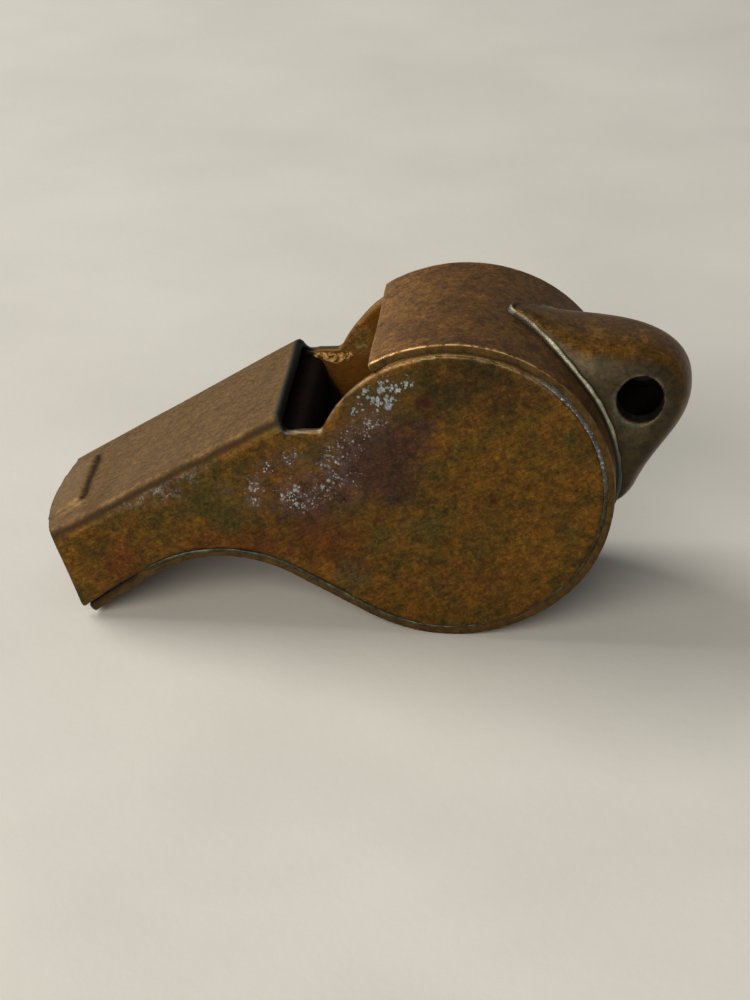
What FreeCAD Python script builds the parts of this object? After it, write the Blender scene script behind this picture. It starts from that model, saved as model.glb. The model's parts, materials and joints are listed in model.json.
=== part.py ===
import FreeCAD, Part
import math
import os
from FreeCAD import Vector

# Drum-shaped pea whistle soldered together from sheet brass. Millimetres.
# The profile lies in XZ: mouthpiece towards -X, lanyard lug towards +X, +Z up, width along Y.
# Everything is drawn about the drum's axis, then set down on the floor at the end.

# ---- driving dimensions ------------------------------------------------------------------
DRUM_R = 10.5              # outside of the strap round the drum
STRAP_T = 0.7              # sheet of the strap and the windway floor
PLATE_T = 0.65             # sheet of the folded saddle: mouthpiece top and side plates
PLATE_HALF = 7.6           # outer face of a side plate from the mid-plane, at the drum's axis
TAPER_DEG = 2.0            # each side plate leans in towards the mouth
STRAP_INSET = 0.3          # the side plates stand this far proud of the strap's edges

LIP_DEG = 124.5            # where the strap ends at the window, as an angle round the drum
NOTCH_DEG = 156.0          # where the window's notch meets the drum's rim
NOTCH_DEPTH = 1.15         # how far the notch cuts down past the fold
BULGE_DEG = -30.0          # below this angle the drum's wall runs on a slightly larger arc
BULGE = 0.75               # how much larger that arc's radius is
CREST = (-15.3, -15.15)    # centre of the hollow under the mouthpiece, x and z
CREST_R = 10.0             # its radius, on the plates' lower edges
TAIL_DEG = 37.0            # slope of the underside at the mouth

TOP_DEG = 31.0             # slope of the mouthpiece top
TOP_END = (-11.9, 4.74)    # its window end on the outer face, x and z
FOLD_R = 1.1               # outside radius of the fold between top and side plates

MOUTH_REACH = 19.55        # length of the top on the mid-plane, window end to mouth
MOUTH_PLAN_R = 18.5        # the mouth end is an arc in plan
MOUTH_SAGITTA = 1.2        # how far that arc falls back at the side plates
MOUTH_CUT_DEG = 20.0       # lean of the mouth end from the vertical
SILL_SETBACK = 0.35        # strap and windway floor stop this far inside the side plates

GRIP_LENGTH = 2.9          # tooth grip: a raised pad behind the mouth end
GRIP_HALF = 3.7
GRIP_SETBACK = 0.45
GRIP_H = 0.42              # height of its back edge
GRIP_TOE = 0.1             # height of its front edge
GRIP_ROOT = 0.3            # how far it reaches down into the sheet
GRIP_ROUND = 0.16

WINDWAY_GAP = 0.9          # air slot between windway floor and mouthpiece top, at the window
NOSE_R = 1.2               # outside bend of the windway floor over into the drum

SEAM_W = 0.26              # seam solder, out from the side plate's rim
SEAM_T = 0.22              # and out from the strap's edge
SEAM_LIP_DEG = 1.5         # it starts this far round from the lip
OPEN_SEAM = 4.8            # unsoldered length of seam at the mouth
OPEN_SEAM_GAP = 0.2        # gap of that slit at the mouth

TACK_R = 0.6               # beads of solder under the windway floor
TACK_LIFT = 0.3            # they are trimmed at this height over the floor's middle line
TACK_INSET = 0.25          # their centres, in from the side plates
TACK_REACH = (0.30, 0.80)  # the stretch they cover, as shares of the floor's length

PEA_R = 4.75
PEA_CLEARANCE = 0.25       # pea to drum wall, so that it can roll right round

LUG_T = 0.7
LUG_ROOT = 0.9             # how far the lug's blank reaches below the strap's face before trimming
LUG_HOLE = (11.9, 5.4)     # centre of the lanyard hole, x and z
LUG_HOLE_R = 1.55
HOLE_RIM_T = 0.45          # the hole's edges are drawn inwards into two short collars
HOLE_RIM_IN = 2.95         # the collars end this far from the mid-plane
LUG_POWER = 2.6            # squareness of the lug's arched cross-section
ARCH_STEPS = 12            # points along one arch
LEAST_HOLLOW = 0.3         # the lug is hollow where the cavity would be higher than this
# Lug sections round the drum: angle in degrees, height over the strap, half width
LUG_SECTIONS = (
    (73.0, 0.12, 0.45),
    (64.0, 0.70, 1.55),
    (54.0, 1.15, 2.95),
    (44.0, 2.60, 3.95),
    (34.0, 4.75, 4.40),
    (24.0, 5.95, 4.50),
    (15.0, 5.20, 4.55),
    (6.0, 3.20, 4.35),
    (-4.0, 1.75, 3.65),
    (-14.0, 0.95, 2.45),
    (-25.0, 0.22, 0.60),
)
BEAD_W = 0.45              # solder round the lug's foot
BEAD_H = 0.34

FAR = 60.0                 # larger than anything here
SPARE = 4.0                # how far blanks run past the mouth before they are trimmed

rad = math.radians


def at(x, z):
    return Vector(x, 0, z)


def heading(degrees):
    """Unit vector in the profile plane, anticlockwise from +X."""
    return at(math.cos(rad(degrees)), math.sin(rad(degrees)))


def bearing(v):
    """Angle of a profile vector from +X."""
    return math.degrees(math.atan2(v.z, v.x))


def polar(radius, degrees, centre=Vector()):
    return centre + heading(degrees) * radius


def arc(centre, radius, start_deg, end_deg):
    """Arc in the profile plane, through its own midpoint."""
    mid_deg = (start_deg + end_deg) / 2.0
    ends = [polar(radius, d, centre) for d in (start_deg, mid_deg, end_deg)]
    return Part.Arc(*ends).toShape()


def line(a, b):
    return Part.LineSegment(a, b).toShape()


def first_point(edge):
    return edge.valueAt(edge.FirstParameter)


def last_point(edge):
    return edge.valueAt(edge.LastParameter)


def polygon(points):
    return [line(points[i - 1], points[i]) for i in range(len(points))]


def prism(edges, half=FAR / 2):
    """Extrude a closed profile both ways from the mid-plane."""
    face = Part.Face(Part.Wire(Part.__sortEdges__(edges)))
    face.translate(Vector(0, -half, 0))
    return face.extrude(Vector(0, 2 * half, 0))


def crossing_normal(c1, r1, c2, r2):
    """Outward angle on circle 1 where the line that crosses over to circle 2 leaves it."""
    gap = c2 - c1
    return bearing(gap) + math.degrees(math.acos((r1 + r2) / gap.Length))


# ---- profile geometry --------------------------------------------------------------------
AXIS = Vector()
CREST_C = at(*CREST)
TOP_END_P = at(*TOP_END)
DISC_R = DRUM_R - STRAP_T
BULGE_R = DISC_R + BULGE
BULGE_C = heading(BULGE_DEG) * -BULGE
UNDER_DEG = crossing_normal(BULGE_C, BULGE_R, CREST_C, CREST_R)
CREST_END_DEG = 90.0 + TAIL_DEG
TAIL_ALONG = heading(TAIL_DEG)
TAIL_UP = heading(TAIL_DEG + 90.0)
TOP_ALONG = heading(TOP_DEG)
TOP_NORMAL = heading(TOP_DEG + 90.0)


def on_top(back, depth=0.0):
    """A point on the mid-plane: back from the window end, down from the outer face."""
    return TOP_END_P - TOP_ALONG * back - TOP_NORMAL * depth


MOUTH_TIP = on_top(MOUTH_REACH)
MOUTH_DOWN = heading(MOUTH_CUT_DEG - 90.0)
MOUTH_INWARD = heading(MOUTH_CUT_DEG)
SILL_TOP = MOUTH_TIP + MOUTH_INWARD * (MOUTH_SAGITTA + SILL_SETBACK)


def tail_point(offset, beyond):
    """A point on the underside's last straight, a given way past its tangent point."""
    return polar(CREST_R - offset, CREST_END_DEG, CREST_C) - TAIL_ALONG * beyond


def sill_reach():
    """Length of that last straight, up to the flat end of the strap."""
    return (SILL_TOP - tail_point(0.0, 0.0)).dot(MOUTH_INWARD) / -TAIL_ALONG.dot(MOUTH_INWARD)


def sill():
    return tail_point(0.0, sill_reach())


def under_edges(offset, start_deg, tail):
    """Drum wall and underside, offset outwards from the side plates' rim."""
    over = arc(AXIS, DISC_R + offset, start_deg, BULGE_DEG)
    below = arc(BULGE_C, BULGE_R + offset, BULGE_DEG, UNDER_DEG)
    crest = arc(CREST_C, CREST_R - offset, UNDER_DEG + 180.0, CREST_END_DEG)
    rise = line(last_point(below), first_point(crest))
    return [over, below, rise, crest, line(last_point(crest), tail_point(offset, tail))]


def band(outer, start_deg, tail):
    """Closed strip from the side plates' rim out to an offset."""
    a = under_edges(0.0, start_deg, tail)
    b = under_edges(outer, start_deg, tail)
    lip = line(first_point(a[0]), first_point(b[0]))
    end = line(tail_point(0.0, tail), tail_point(outer, tail))
    return a + b + [lip, end]


# ---- cutting tools -----------------------------------------------------------------------
def wedge(inset):
    """Everything between the two tapering side planes, moved in by inset."""
    slope = math.tan(rad(TAPER_DEG))
    half = PLATE_HALF - inset / math.cos(rad(TAPER_DEG))
    corners = []
    for x, side in ((-FAR, -1), (FAR, -1), (FAR, 1), (-FAR, 1)):
        corners.append(Vector(x, side * (half + slope * x), -FAR))
    wire = Part.makePolygon(corners + corners[:1])
    return Part.Face(wire).extrude(Vector(0, 0, 2 * FAR))


def past(point):
    """Everything beyond a plane through point that leans as the mouth end does."""
    above = point - MOUTH_DOWN * FAR
    below = point + MOUTH_DOWN * FAR
    out = MOUTH_INWARD * -FAR
    return prism(polygon([above, below, below + out, above + out]))


def past_rounded_mouth():
    centre = MOUTH_TIP + MOUTH_INWARD * MOUTH_PLAN_R
    round_end = Part.makeCylinder(MOUTH_PLAN_R, 2 * FAR, centre - MOUTH_DOWN * FAR, MOUTH_DOWN)
    return past(centre).cut(round_end)


def fillet_at_depth(shape, depth, radius):
    """Round the long straight edges that lie a given depth below the mouthpiece top."""
    edges = []
    for edge in shape.Edges:
        ends = (first_point(edge), last_point(edge))
        run = ends[1] - ends[0]
        level = all(abs((p - TOP_END_P).dot(TOP_NORMAL) + depth) < 1e-3 for p in ends)
        if level and abs(run.dot(TOP_ALONG)) > 0.99 * run.Length > 0.99:
            edges.append(edge)
    return shape.makeFillet(radius, edges)


# ---- the folded saddle: mouthpiece top and both side plates -------------------------------
def saddle():
    tail = sill_reach() + SPARE
    rim = under_edges(0.0, NOTCH_DEG, tail)
    notch_foot = on_top(0.0, NOTCH_DEPTH)
    mouth_top = on_top(MOUTH_REACH + SPARE)
    outline = rim + [
        line(tail_point(0.0, tail), mouth_top),
        line(mouth_top, TOP_END_P),
        line(TOP_END_P, notch_foot),
        line(notch_foot, first_point(rim[0])),
    ]
    block = fillet_at_depth(prism(outline).common(wedge(0.0)), 0.0, FOLD_R)
    sheet = block.cut(past_rounded_mouth()).cut(inside_saddle())
    return sheet.fuse(tooth_grip()).removeSplitter().cut(open_seam())


def inside_saddle():
    """The space between the plates, open below and over the whole drum."""
    beyond_mouth = on_top(MOUTH_REACH + 2 * SPARE, PLATE_T)
    beyond_window = on_top(-1.0, PLATE_T)
    hollow = prism(polygon([
        beyond_mouth,
        beyond_window,
        beyond_window + at(0, FAR),
        at(FAR, FAR),
        at(FAR, -FAR),
        beyond_mouth - at(0, FAR),
    ]))
    return fillet_at_depth(hollow.common(wedge(PLATE_T)), PLATE_T, FOLD_R - PLATE_T)


def tooth_grip():
    """D-shaped pad pressed up out of the mouthpiece top, sloping down to the mouth."""
    front = MOUTH_REACH - GRIP_SETBACK
    back = front - GRIP_LENGTH
    turn_centre = on_top(front - MOUTH_PLAN_R, GRIP_ROOT)
    turn = Part.makeCylinder(MOUTH_PLAN_R, FAR, turn_centre, TOP_NORMAL)
    pad = prism(polygon([
        on_top(back, GRIP_ROOT),
        on_top(back, -GRIP_H),
        on_top(front, -GRIP_TOE),
        on_top(front, GRIP_ROOT),
    ]), GRIP_HALF).common(turn)
    return pad.makeFillet(GRIP_ROUND, [e for e in pad.Edges if stands_proud(e)])


def stands_proud(edge):
    """True for an edge of the pad that lies above the sheet and doesn't stand upright."""
    run = last_point(edge) - first_point(edge)
    mid = edge.valueAt((edge.FirstParameter + edge.LastParameter) / 2)
    upright = abs(run.dot(TOP_NORMAL)) > 0.7 * run.Length
    return (mid - TOP_END_P).dot(TOP_NORMAL) > GRIP_TOE / 2 and not upright


def open_seam():
    """The unsoldered slit at the mouth: the plates' edges stop short of the strap."""
    tip = sill() + TAIL_ALONG * OPEN_SEAM
    start = sill() - TAIL_ALONG * SPARE
    return prism(polygon([start - TAIL_UP, tip - TAIL_UP, tip, start + TAIL_UP * OPEN_SEAM_GAP]))


# ---- the strap: lip, drum wall and underside ---------------------------------------------
def strap():
    strip = prism(band(STRAP_T, LIP_DEG, sill_reach() + SPARE))
    return strip.common(wedge(STRAP_INSET)).cut(past(SILL_TOP))


# ---- the windway floor, bent over into the drum ------------------------------------------
def nose_centre():
    """As far below the mouthpiece top as the slot needs, and tangent to the drum's inside."""
    height = TOP_END_P.dot(TOP_NORMAL) - (PLATE_T + WINDWAY_GAP + NOSE_R)
    along = math.sqrt((DISC_R + NOSE_R) ** 2 - height ** 2)
    return TOP_NORMAL * height - TOP_ALONG * along


def windway_floor():
    nose = nose_centre()
    inner_r = NOSE_R - STRAP_T
    gap = nose - sill()
    slope = bearing(gap) + math.degrees(math.asin(inner_r / gap.Length))
    run = heading(slope) * (gap.Length + SPARE)
    bend = (slope + 90.0, bearing(nose) - 180.0)
    foot = (bearing(nose), UNDER_DEG + 360.0)

    top_bend = arc(nose, NOSE_R, *bend)
    low_bend = arc(nose, inner_r, *bend)
    chamber_side = arc(AXIS, DISC_R, *foot)
    hidden_side = arc(AXIS, DISC_R + STRAP_T, *foot)
    top_start = first_point(top_bend) - run
    low_start = first_point(low_bend) - run
    edges = [
        line(top_start, first_point(top_bend)),
        top_bend,
        chamber_side,
        line(last_point(chamber_side), last_point(hidden_side)),
        hidden_side,
        low_bend,
        line(first_point(low_bend), low_start),
        line(low_start, top_start),
    ]
    return prism(edges).common(wedge(PLATE_T)).cut(past(SILL_TOP))


# ---- solder -------------------------------------------------------------------------------
def seam_solder(side):
    """Bead in the corner between one side plate's rim and the strap's edge."""
    ring = prism(band(SEAM_W, LIP_DEG - SEAM_LIP_DEG, sill_reach() - OPEN_SEAM))
    ring = ring.common(wedge(STRAP_INSET - SEAM_T)).cut(wedge(STRAP_INSET))
    corner = Vector(-FAR, 0 if side > 0 else -FAR, -FAR)
    return ring.common(Part.makeBox(2 * FAR, FAR, 2 * FAR, corner))


def windway_solder():
    """Two beads along the windway floor's edges, under it, in the closed hollow."""
    start = sill()
    gap = nose_centre() - start
    beads = []
    for side in (-1, 1):
        ends = []
        for reach in TACK_REACH:
            p = start + gap * reach
            half = PLATE_HALF + math.tan(rad(TAPER_DEG)) * p.x - PLATE_T - TACK_INSET
            ends.append(p + Vector(0, side * half, 0))
        beads.append(Part.makeCylinder(TACK_R, (ends[1] - ends[0]).Length, ends[0], gap))
    low = start - gap + TOP_NORMAL * TACK_LIFT
    high = start + gap * 2 + TOP_NORMAL * TACK_LIFT
    above = prism(polygon([low, high, high + TOP_NORMAL * FAR, low + TOP_NORMAL * FAR]))
    tacks = Part.makeCompound(beads).common(wedge(PLATE_T))
    return tacks.cut(windway_floor()).cut(above).cut(strap())


# ---- lanyard lug --------------------------------------------------------------------------
def lug_section(degrees, height, half):
    """Arch over the strap in the radial plane at one angle, closed below the strap's face."""
    out = heading(degrees)
    arch = []
    for i in range(ARCH_STEPS + 1):
        turn = math.pi * i / ARCH_STEPS
        across = -math.copysign(abs(math.cos(turn)) ** (2 / LUG_POWER), math.cos(turn)) * half
        rise = abs(math.sin(turn)) ** (2 / LUG_POWER) * height
        arch.append(out * (DRUM_R + rise) + Vector(0, across, 0))
    curve = Part.BSplineCurve()
    curve.interpolate(arch)
    low = [arch[-1] - out * LUG_ROOT, arch[0] - out * LUG_ROOT]
    sides = [line(arch[-1], low[0]), line(*low), line(low[1], arch[0])]
    return Part.Wire([curve.toShape()] + sides)


def lug_form(offset=0.0, least=0.0, cap=FAR):
    """The lug's blank grown by an offset, where it is higher than least, and kept under cap."""
    wires = []
    for degrees, height, half in LUG_SECTIONS:
        if height + offset > least:
            wires.append(lug_section(degrees, min(height + offset, cap), half + offset))
    return Part.makeLoft(wires, True, False)


def crossbar(x, z, radius, half=FAR / 2):
    """Round bar along Y, centred on the mid-plane."""
    return Part.makeCylinder(radius, 2 * half, Vector(x, -half, z), Vector(0, 1, 0))


def lug():
    """Hollow shell over the strap, with a drilled collar inside each wall at the hole."""
    ring = crossbar(*LUG_HOLE, LUG_HOLE_R + HOLE_RIM_T)
    collars = ring.cut(crossbar(*LUG_HOLE, FAR, HOLE_RIM_IN))
    cavity = lug_form(-LUG_T, LEAST_HOLLOW).cut(collars)
    shell = lug_form().cut(crossbar(0, 0, DRUM_R)).cut(cavity)
    return shell.cut(crossbar(*LUG_HOLE, LUG_HOLE_R))


def lug_solder():
    return lug_form(BEAD_W, cap=BEAD_H).cut(crossbar(0, 0, DRUM_R)).cut(lug_form())


# ---- pea ----------------------------------------------------------------------------------
def pea():
    """Cork ball at the bottom of its circle round the drum's axis."""
    return Part.makeSphere(PEA_R, at(0, -(DISC_R - PEA_R - PEA_CLEARANCE)))


# ---- assembly -----------------------------------------------------------------------------
def build():
    return {
        "side_plate_saddle": saddle(),
        "barrel_strap": strap(),
        "windway_floor": windway_floor(),
        "windway_solder": windway_solder(),
        "seam_solder_front": seam_solder(-1),
        "seam_solder_back": seam_solder(1),
        "lanyard_lug": lug(),
        "lug_solder": lug_solder(),
        "cork_pea": pea(),
    }


def set_down(parts):
    """Put the origin at the middle of the whole part's underside, and say where the drum went."""
    box = Part.makeCompound(list(parts.values())).optimalBoundingBox(False)
    shift = Vector(-box.Center.x, 0, -box.ZMin)
    for shape in parts.values():
        shape.translate(shift)
    print("size %.2f x %.2f x %.2f" % (box.XLength, box.YLength, box.ZLength))
    print("drum axis at x %.3f z %.3f" % (shift.x, shift.z))


def main():
    parts = build()
    set_down(parts)
    os.makedirs("parts", exist_ok=True)
    for name, shape in parts.items():
        shape.exportStep("parts/%s.step" % name)
        print("%-18s solids %d valid %s volume %.2f" % (
            name, len(shape.Solids), shape.isValid(), shape.Volume))


main()
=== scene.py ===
import json
import math

import bmesh
import bpy
import numpy as np
from mathutils import Matrix, Vector


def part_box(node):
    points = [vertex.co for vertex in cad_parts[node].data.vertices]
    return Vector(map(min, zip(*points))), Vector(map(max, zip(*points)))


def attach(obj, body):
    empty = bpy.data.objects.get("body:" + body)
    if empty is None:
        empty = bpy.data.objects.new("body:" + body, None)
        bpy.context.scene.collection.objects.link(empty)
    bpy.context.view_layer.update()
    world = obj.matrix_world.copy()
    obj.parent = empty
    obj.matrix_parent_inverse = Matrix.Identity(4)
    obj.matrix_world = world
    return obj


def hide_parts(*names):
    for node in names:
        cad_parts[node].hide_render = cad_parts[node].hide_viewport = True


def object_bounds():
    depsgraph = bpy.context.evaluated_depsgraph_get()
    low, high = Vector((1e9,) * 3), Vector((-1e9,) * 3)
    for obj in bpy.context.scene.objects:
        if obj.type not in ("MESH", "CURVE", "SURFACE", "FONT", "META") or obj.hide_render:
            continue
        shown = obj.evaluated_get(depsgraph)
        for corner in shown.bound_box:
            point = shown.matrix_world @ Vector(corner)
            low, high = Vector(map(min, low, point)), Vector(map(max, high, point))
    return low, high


# The looks of an old sheet-brass pea whistle. Shapes and masks are worked out in millimetres about
# the drum's axis, as in the CAD source, and set into the row frame in metres when a mesh is made.

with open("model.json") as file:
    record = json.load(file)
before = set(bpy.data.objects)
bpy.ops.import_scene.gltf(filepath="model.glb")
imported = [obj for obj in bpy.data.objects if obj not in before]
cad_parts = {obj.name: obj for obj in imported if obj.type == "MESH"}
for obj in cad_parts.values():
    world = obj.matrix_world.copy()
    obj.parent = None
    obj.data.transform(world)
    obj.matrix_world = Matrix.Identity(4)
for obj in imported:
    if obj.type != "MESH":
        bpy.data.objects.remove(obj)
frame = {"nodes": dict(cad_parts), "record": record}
CAD_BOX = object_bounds()
MM = 0.001
DRUM = Vector(frame["record"]["behaviour"]["joints"][0]["pos_m"]) / MM

# ---- sizes: millimetres, and degrees about the drum's axis ---------------------------------
DRUM_R = 10.5              # outside of the strap round the drum
STRAP_T = 0.7              # its sheet
DISC_R = DRUM_R - STRAP_T  # the side plates' round discs
PLATE_HALF = 7.6           # outer face of a side plate from the mid-plane, at the drum's axis
TAPER = math.tan(math.radians(2.0))
STRAP_INSET = 0.3          # the side plates stand this far proud of the strap's edges
LIP_DEG = 124.5            # the strap's end at the window
BULGE_DEG = -30.0          # below this angle the drum's wall runs on a slightly larger arc
BULGE = 0.75               # how much larger that arc's radius is
CREST = (-15.3, -15.15)    # the hollow under the mouthpiece: its arc's centre, x and z, and radius
CREST_R = 10.0
TAIL_DEG = 37.0            # slope of the underside at the mouth
TOP_DEG = 31.0             # slope of the mouthpiece top
TOP_END = (-11.9, 4.74)    # its window end on the outer face, x and z
NOTCH_DEPTH = 1.15         # the window's notch: its floor's depth under the mouthpiece top's end,
NOTCH_DEG = 156.0          # and the angle where that floor meets the disc's rim
MOUTH_REACH = 19.55        # length of the top on the mid-plane, window end to mouth
GRIP_HALF = 3.7            # the tooth grip: half its width, its back edge, and its corners' radius
GRIP_BACK = 16.2
GRIP_CORNER = 0.9
LUG_HOLE = (11.9, 5.4)     # the lanyard hole: its centre, x and z, and radius
LUG_HOLE_R = 1.55
LUG_HALF = 4.6             # half the lug's width there
MM_PER_DEG = math.radians(DRUM_R)
# The ridge round the lug's foot: angle and distance from the mid-plane, bottom tip to top tip
FLANGE_RIDGE = (
    (-27.2, 0.0), (-25.8, 0.8), (-14.0, 2.8), (-4.0, 4.0), (6.0, 4.7), (14.0, 4.98), (22.0, 5.0),
    (30.0, 4.85), (36.2, 4.75), (42.4, 4.48), (48.4, 3.98), (54.0, 3.3), (60.0, 2.36),
    (63.7, 1.75), (68.4, 1.05), (71.6, 0.66), (73.1, 0.0),
)

EDGE_ROUND = 0.13          # worn round corners of the strap
CORNER_STEPS = 5           # points round one of them, and across the strap's face
STRIP_STEPS = 74
PATH_STEP = 0.16           # spacing of the rings along the strap and the seams

SEAM_W = 0.2               # seam solder: out from the side plate's rim, and out from the strap's edge
SEAM_T = 0.2
SEAM_UNDER = 0.05          # how far it reaches in under both
SEAM_LIP_DEG = 1.5         # it starts this far round from the lip
OPEN_SEAM = 4.8            # unsoldered length at the mouth
SEAM_WIDER = (8, 12)       # lengths from the lip over which it grows wider, narrower again, and
SEAM_NARROWER = (21, 26)   # thicker under the mouthpiece
SEAM_THICKER = (34, 42)

BEAD_H = 0.3               # the lug's flange: its ridge's height and roundness, and how far it
BEAD_ROUND = 0.15          # reaches out from the ridge, and in under the lug
BEAD_REACH = 0.3
BEAD_UNDER = 0.5

DISH_R = 2.5               # the lug's walls are pressed in round the hole, this wide and deep
DISH_DEPTH = 0.42
DENT = 0.035               # waviness of the old sheet: how far it goes, and its wavelength
DENT_LENGTH = 7.0
SEED = 7


# ---- meshes ----------------------------------------------------------------------------------
def linked(name, data):
    """A new object in the scene."""
    ob = bpy.data.objects.new(name, data)
    bpy.context.scene.collection.objects.link(ob)
    return ob


def coordinates(mesh):
    """Vertices in millimetres about the drum's axis."""
    co = np.empty(len(mesh.vertices) * 3, np.float32)
    mesh.vertices.foreach_get("co", co)
    return co.reshape(-1, 3).astype(float) / MM - np.array(DRUM)


def set_coordinates(mesh, co):
    mesh.vertices.foreach_set("co", ((co + np.array(DRUM)) * MM).astype(np.float32).ravel())
    mesh.update()


def edge_pairs(mesh):
    pairs = np.empty(len(mesh.edges) * 2, np.int32)
    mesh.edges.foreach_get("vertices", pairs)
    return pairs.reshape(-1, 2)


def neighbour_mean(values, pairs):
    """Mean over each vertex's neighbours, for one number or several per vertex."""
    a, b = pairs[:, 0], pairs[:, 1]
    n = len(values)
    count = np.maximum(np.bincount(a, minlength=n) + np.bincount(b, minlength=n), 1)
    columns = values.reshape(n, -1)
    total = [np.bincount(a, c[b], n) + np.bincount(b, c[a], n) for c in columns.T]
    return (np.stack(total, 1) / count[:, None]).reshape(values.shape)


def relaxed(co, pairs, rounds):
    """Smooths without shrinking: each round steps in and back out."""
    for _ in range(rounds):
        for step in (0.5, -0.52):
            co = co + step * (neighbour_mean(co, pairs) - co)
    return co


def fine_mesh(node, voxel, rounds):
    """An even fine mesh of a CAD node's shape, with its edges softened."""
    mesh = frame["nodes"][node].data.copy()
    mesh.transform(Matrix.Scale(1 / MM, 4))
    bm = bmesh.new()
    bm.from_mesh(mesh)
    bmesh.ops.remove_doubles(bm, verts=bm.verts, dist=1e-4)
    bm.to_mesh(mesh)
    bm.free()
    ob = linked("blank", mesh)
    grid = ob.modifiers.new("grid", "REMESH")
    grid.mode = "VOXEL"
    grid.voxel_size = voxel
    shown = ob.evaluated_get(bpy.context.evaluated_depsgraph_get())
    fine = bpy.data.meshes.new_from_object(shown)
    bpy.data.objects.remove(ob)
    fine.transform(Matrix.Scale(MM, 4))
    fine.materials.clear()
    set_coordinates(fine, relaxed(coordinates(fine), edge_pairs(fine), rounds))
    return fine


def normals_of(mesh):
    n = np.empty(len(mesh.vertices) * 3, np.float32)
    mesh.vertex_normals.foreach_get("vector", n)
    return n.reshape(-1, 3).astype(float)


def waves(co, length, seed):
    """Smooth random field, mostly from -1 to 1, with features about the given length."""
    rng = np.random.default_rng(seed)
    field = np.zeros(len(co))
    for _ in range(7):
        direction = rng.normal(size=3)
        direction /= np.linalg.norm(direction)
        pitch = length * rng.uniform(0.7, 1.6)
        field += np.sin(co @ direction * (2 * math.pi / pitch) + rng.uniform(0, 2 * math.pi))
    return field / 4.0


def smoothstep(x, low, high):
    t = np.clip((x - low) / (high - low), 0, 1)
    return t * t * (3 - 2 * t)


def store(mesh, name, values):
    """Keeps a mask, one number from 0 to 1 per vertex, for the materials."""
    layer = mesh.attributes.new(name, "FLOAT", "POINT")
    layer.data.foreach_set("value", np.clip(values, 0, 1).astype(np.float32))


def edge_marks(mesh):
    """Two numbers per vertex, from 0 to 1: how sharp an edge it is on, and how deep a crease."""
    co, pairs, normal = coordinates(mesh), edge_pairs(mesh), normals_of(mesh)
    step = np.linalg.norm(co[pairs[:, 0]] - co[pairs[:, 1]], axis=1).mean()
    bend = np.einsum("ij,ij->i", co - neighbour_mean(co, pairs), normal) / step
    for _ in range(3):
        bend = 0.5 * bend + 0.5 * neighbour_mean(bend, pairs)
    return smoothstep(bend, 0.09, 0.2), smoothstep(-bend, 0.02, 0.12)


def dented(mesh):
    """Slight waviness of old thin sheet, one field for every piece, so that joints stay closed."""
    co = coordinates(mesh)
    push = np.stack([waves(co, DENT_LENGTH, SEED + i) for i in range(3)], 1)
    low, high = (np.array(corner) / MM - np.array(DRUM) for corner in CAD_BOX)
    set_coordinates(mesh, np.clip(co + DENT * push, low, high))


def clean_mesh(name, co, faces):
    mesh = bpy.data.meshes.new(name)
    mesh.from_pydata(((co + np.array(DRUM)) * MM).tolist(), [], faces)
    bm = bmesh.new()
    bm.from_mesh(mesh)
    bmesh.ops.remove_doubles(bm, verts=bm.verts, dist=2e-7)
    bmesh.ops.recalc_face_normals(bm, faces=bm.faces)
    bm.to_mesh(mesh)
    bm.free()
    return mesh


def swept(name, rings, closed=False):
    """Quads between neighbouring rings, with flat ends unless the sweep closes on itself."""
    count = len(rings[0])
    faces = []
    for i in range(len(rings) if closed else len(rings) - 1):
        a, b = i * count, (i + 1) % len(rings) * count
        faces += [(a + k, a + (k + 1) % count, b + (k + 1) % count, b + k) for k in range(count)]
    for base in () if closed else (0, (len(rings) - 1) * count):
        for k in range(count // 2 - 1):
            faces.append((base + k, base + k + 1, base + count - 2 - k, base + count - 1 - k))
    return clean_mesh(name, np.array(rings).reshape(-1, 3), faces)


# ---- the profile that the strap and its seams follow --------------------------------------------
def heading(degrees):
    a = math.radians(degrees)
    return np.array([math.cos(a), math.sin(a)])


def under_path(start_deg):
    """Points, outward normals and lengths along the strap's inner face, down to the mouth."""
    bulge_c = heading(BULGE_DEG) * -BULGE
    bulge_r = DISC_R + BULGE
    crest = np.array(CREST)
    gap = crest - bulge_c
    lean = math.acos((bulge_r + CREST_R) / np.linalg.norm(gap))
    under_deg = math.degrees(math.atan2(gap[1], gap[0]) + lean)
    arcs = (
        (np.zeros(2), DISC_R, start_deg, BULGE_DEG, 1.0),
        (bulge_c, bulge_r, BULGE_DEG, under_deg, 1.0),
        (crest, CREST_R, under_deg + 180.0, 90.0 + TAIL_DEG, -1.0),
    )
    points, normals = [], []
    for centre, radius, start, end, out in arcs:
        count = int(abs(math.radians(end - start)) * radius / PATH_STEP)
        turn = [heading(start + (end - start) * i / count) for i in range(count + 1)]
        run_to(points, normals, centre + radius * turn[0], turn[0] * out)
        points += [centre + radius * t for t in turn[1:]]
        normals += [t * out for t in turn[1:]]
    mouth_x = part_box("barrel_strap")[0].x / MM - DRUM.x
    tail = (points[-1][0] - mouth_x) / heading(TAIL_DEG)[0]
    run_to(points, normals, points[-1] - heading(TAIL_DEG) * tail, normals[-1])
    points, normals = np.array(points), np.array(normals)
    step = np.linalg.norm(np.diff(points, axis=0), axis=1)
    apart = np.r_[True, step > 1e-4]
    return points[apart], normals[apart], np.r_[0, np.cumsum(step)][apart]


def run_to(points, normals, target, normal):
    """Runs the path straight on, up to and including a target point."""
    if points:
        start = points[-1]
        count = int(np.linalg.norm(target - start) / PATH_STEP) + 1
        points += [start + (target - start) * i / count for i in range(1, count)]
        normals += [normal] * (count - 1)
    points.append(target)
    normals.append(normal)


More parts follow.
